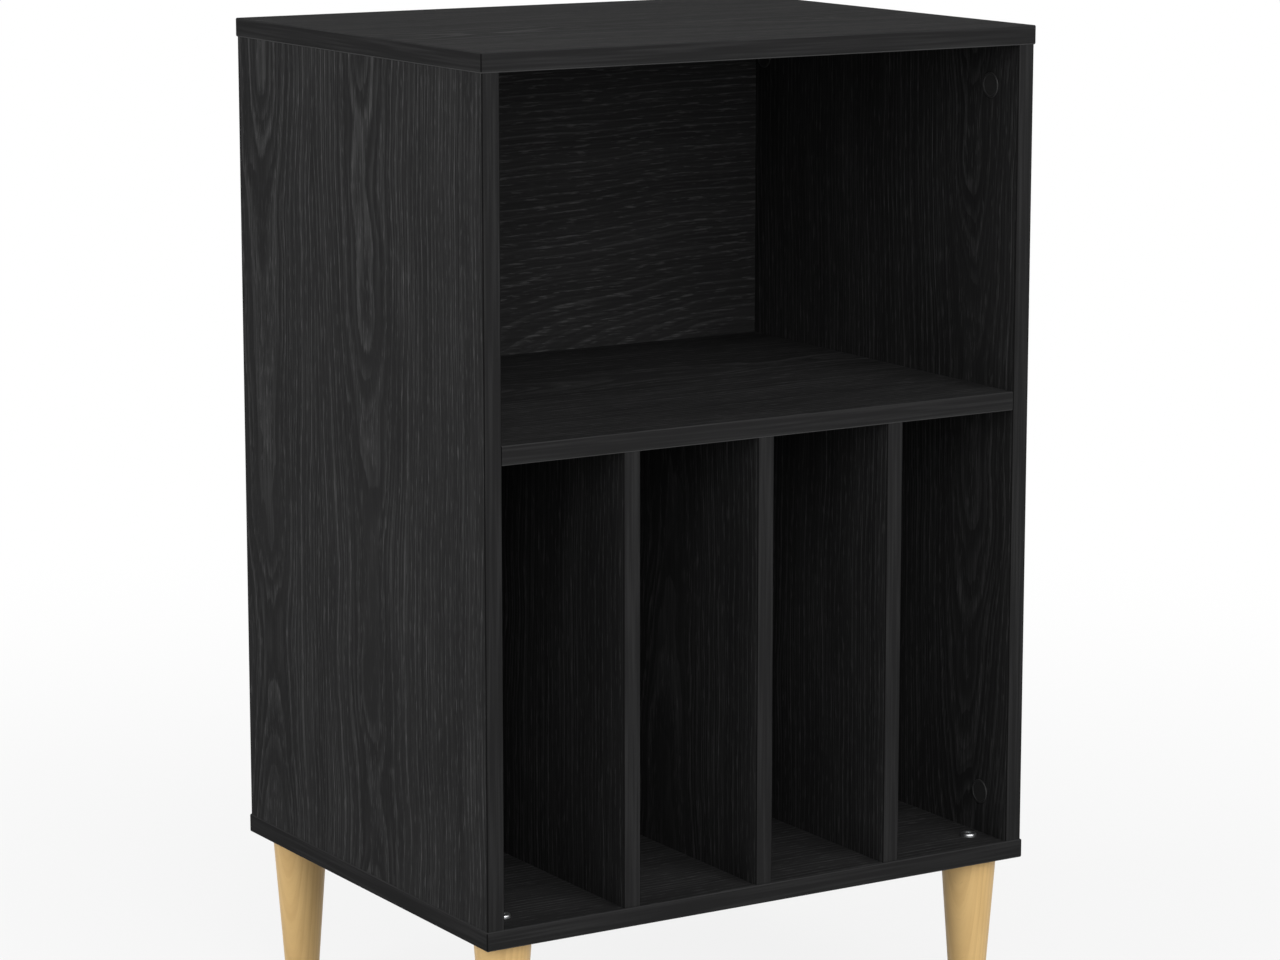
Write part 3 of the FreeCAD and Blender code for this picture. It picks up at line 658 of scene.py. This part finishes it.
def make_screws(material):
    """Socket screws under the bottom panel, with a thin rim that covers their bores."""
    low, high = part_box("divider_screws")
    columns = spread(low[X], high[X], SCREW_NODE_RADIUS, DIVIDERS)
    rows = spread(low[Y], high[Y], SCREW_NODE_RADIUS, PAIR)
    places = [Matrix.Translation((x, y, low[Z] - SCREW_RIM)) for x in columns for y in rows]
    profile = [(SCREW_SOCKET_RADIUS, SCREW_SOCKET_DEPTH), (SCREW_SOCKET_RADIUS, 0)]
    profile += arc(SCREW_RIM_RADIUS - SCREW_RIM, SCREW_RIM, SCREW_RIM, DOWN, OUT)
    profile += [(SCREW_HEAD_RADIUS, SCREW_RIM), (SCREW_HEAD_RADIUS, SCREW_HEAD_HEIGHT)]
    profile += [(SCREW_RADIUS, SCREW_HEAD_HEIGHT), (SCREW_RADIUS, high[Z] - low[Z])]
    lathe("divider_screw_set", profile, places, material, "divider_screws", socketed=True)


def make_inserts(material):
    """Low socket heads on the bottom panel, over the barrels that hold the legs' bolts."""
    low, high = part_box("leg_threaded_inserts")
    length = high[Z] - low[Z]
    places = [place @ FACE_DOWN for place in leg_places(high[Z])]
    radius = high[X] - max(place.translation.x for place in places)
    profile = [(INSERT_SOCKET_RADIUS, INSERT_SOCKET_DEPTH), (INSERT_SOCKET_RADIUS, 0)]
    profile += arc(radius - INSERT_CROWN, INSERT_CROWN, INSERT_CROWN, DOWN, OUT)
    profile += [(radius, INSERT_HEAD_HEIGHT), (INSERT_RADIUS, INSERT_HEAD_HEIGHT)]
    profile += [(INSERT_RADIUS, length)]
    profile += [(BOLT_BORE_RADIUS, length), (BOLT_BORE_RADIUS, INSERT_HEAD_HEIGHT)]
    lathe("leg_insert_set", profile, places, material, "leg_threaded_inserts", socketed=True)


# Stage

FLOOR_SIZE = 60
FLOOR_COLOR = (0.55, 0.55, 0.55, 1)
# Distances from the middle of the stand over which the floor turns white to the camera, and how white
FLOOR_FADE = (0.2, 2.0, 0.86, 1.0)
WORLD_STRENGTH = 0.22

# Soft boxes: turn and height about the aim in degrees, distance, width and height in metres, and watts
SoftBox = namedtuple("SoftBox", "azimuth elevation distance width height power")
SOFT_BOXES = {
    "left_soft_box": SoftBox(-96, 20, 3.0, 1.8, 1.8, 60),
    "front_soft_box": SoftBox(-4, 28, 3.2, 4.0, 3.0, 136),
    "rear_soft_box": SoftBox(140, 0, 2.6, 2.4, 0.66, 40),
}

# Camera: where it aims, how far back it stands, and its turn and height about the stand
AIM = Vector((0.0065, -0.0028, 0.4296))
AIM_DISTANCE = 3.3354
AIM_AZIMUTH = -31.66
AIM_ELEVATION = 10.65
LENS = 115.8
SENSOR = 36.0


def seen_directly(graph):
    """Share that is one for camera, mirror and glass rays."""
    path = graph.node("ShaderNodeLightPath").outputs
    glossy = graph.math("MAXIMUM", path["Is Glossy Ray"], path["Is Transmission Ray"])
    return graph.math("MAXIMUM", path["Is Camera Ray"], glossy)


def make_floor():
    """Pale floor, white to the camera, that keeps part of its shading near the stand for the shadow."""
    bpy.ops.mesh.primitive_plane_add(size=FLOOR_SIZE)
    floor = bpy.context.object
    floor.name = "floor"
    material, graph = new_material("pale_floor")
    matt = graph.node("ShaderNodeBsdfDiffuse", {"Color": FLOOR_COLOR})
    glow = graph.node("ShaderNodeEmission", {"Color": WHITE, "Strength": 1.0})
    reach = graph.node("ShaderNodeVectorMath", {0: graph.place()}, operation="LENGTH").outputs["Value"]
    share = graph.math("MULTIPLY", seen_directly(graph), graph.remap(reach, *FLOOR_FADE))
    graph.node("ShaderNodeOutputMaterial", {"Surface": graph.mix_shaders(share, matt, glow)})
    set_material(floor, material)


def make_world():
    """Even soft light, white to the camera and in reflections."""
    world = bpy.data.worlds.new("studio")
    bpy.context.scene.world = world
    world.use_nodes = True
    graph = Graph(world.node_tree)
    soft = graph.node("ShaderNodeBackground", {"Color": WHITE, "Strength": WORLD_STRENGTH})
    white = graph.node("ShaderNodeBackground", {"Color": WHITE, "Strength": 1.0})
    graph.node("ShaderNodeOutputWorld", {"Surface": graph.mix_shaders(seen_directly(graph), soft, white)})


def around(azimuth, elevation, distance):
    """Point at a turn and height about the aim, in degrees, where a turn of zero is in front."""
    turn = math.radians(azimuth)
    lift = math.radians(elevation)
    back = Vector((math.sin(turn) * math.cos(lift), -math.cos(turn) * math.cos(lift), math.sin(lift)))
    return AIM + distance * back


def add_aimed(name, data, place):
    """Lamp or camera at a place, turned to the aim."""
    holder = bpy.data.objects.new(name, data)
    holder.location = place
    holder.rotation_euler = (AIM - place).to_track_quat("-Z", "Y").to_euler()
    bpy.context.scene.collection.objects.link(holder)
    return holder


def make_lamps():
    """Soft boxes that face the stand."""
    for name, box in SOFT_BOXES.items():
        lamp = bpy.data.lights.new(name, "AREA")
        lamp.shape = "RECTANGLE"
        lamp.size = box.width
        lamp.size_y = box.height
        lamp.energy = box.power
        add_aimed(name, lamp, around(box.azimuth, box.elevation, box.distance))


def make_camera():
    """Camera at the photograph's viewing angle."""
    data = bpy.data.cameras.new("camera")
    data.lens = LENS
    data.sensor_width = SENSOR
    place = around(AIM_AZIMUTH, AIM_ELEVATION, AIM_DISTANCE)
    bpy.context.scene.camera = add_aimed("camera", data, place)


bpy.context.scene.view_settings.view_transform = "Standard"
make_floor()
make_world()
make_lamps()
make_camera()
wood = leg_material()
plastic = plastic_material()
zinc = zinc_material()
dress_boards()
dress_fittings({"leg_wood": wood, "black_cap": plastic, "black_glide": plastic, "zinc_steel": zinc,
                "dowel_wood": beech_material()})
make_legs(wood)
make_glides(plastic)
make_nails(zinc)
make_caps(plastic)
make_screws(zinc)
make_inserts(zinc)
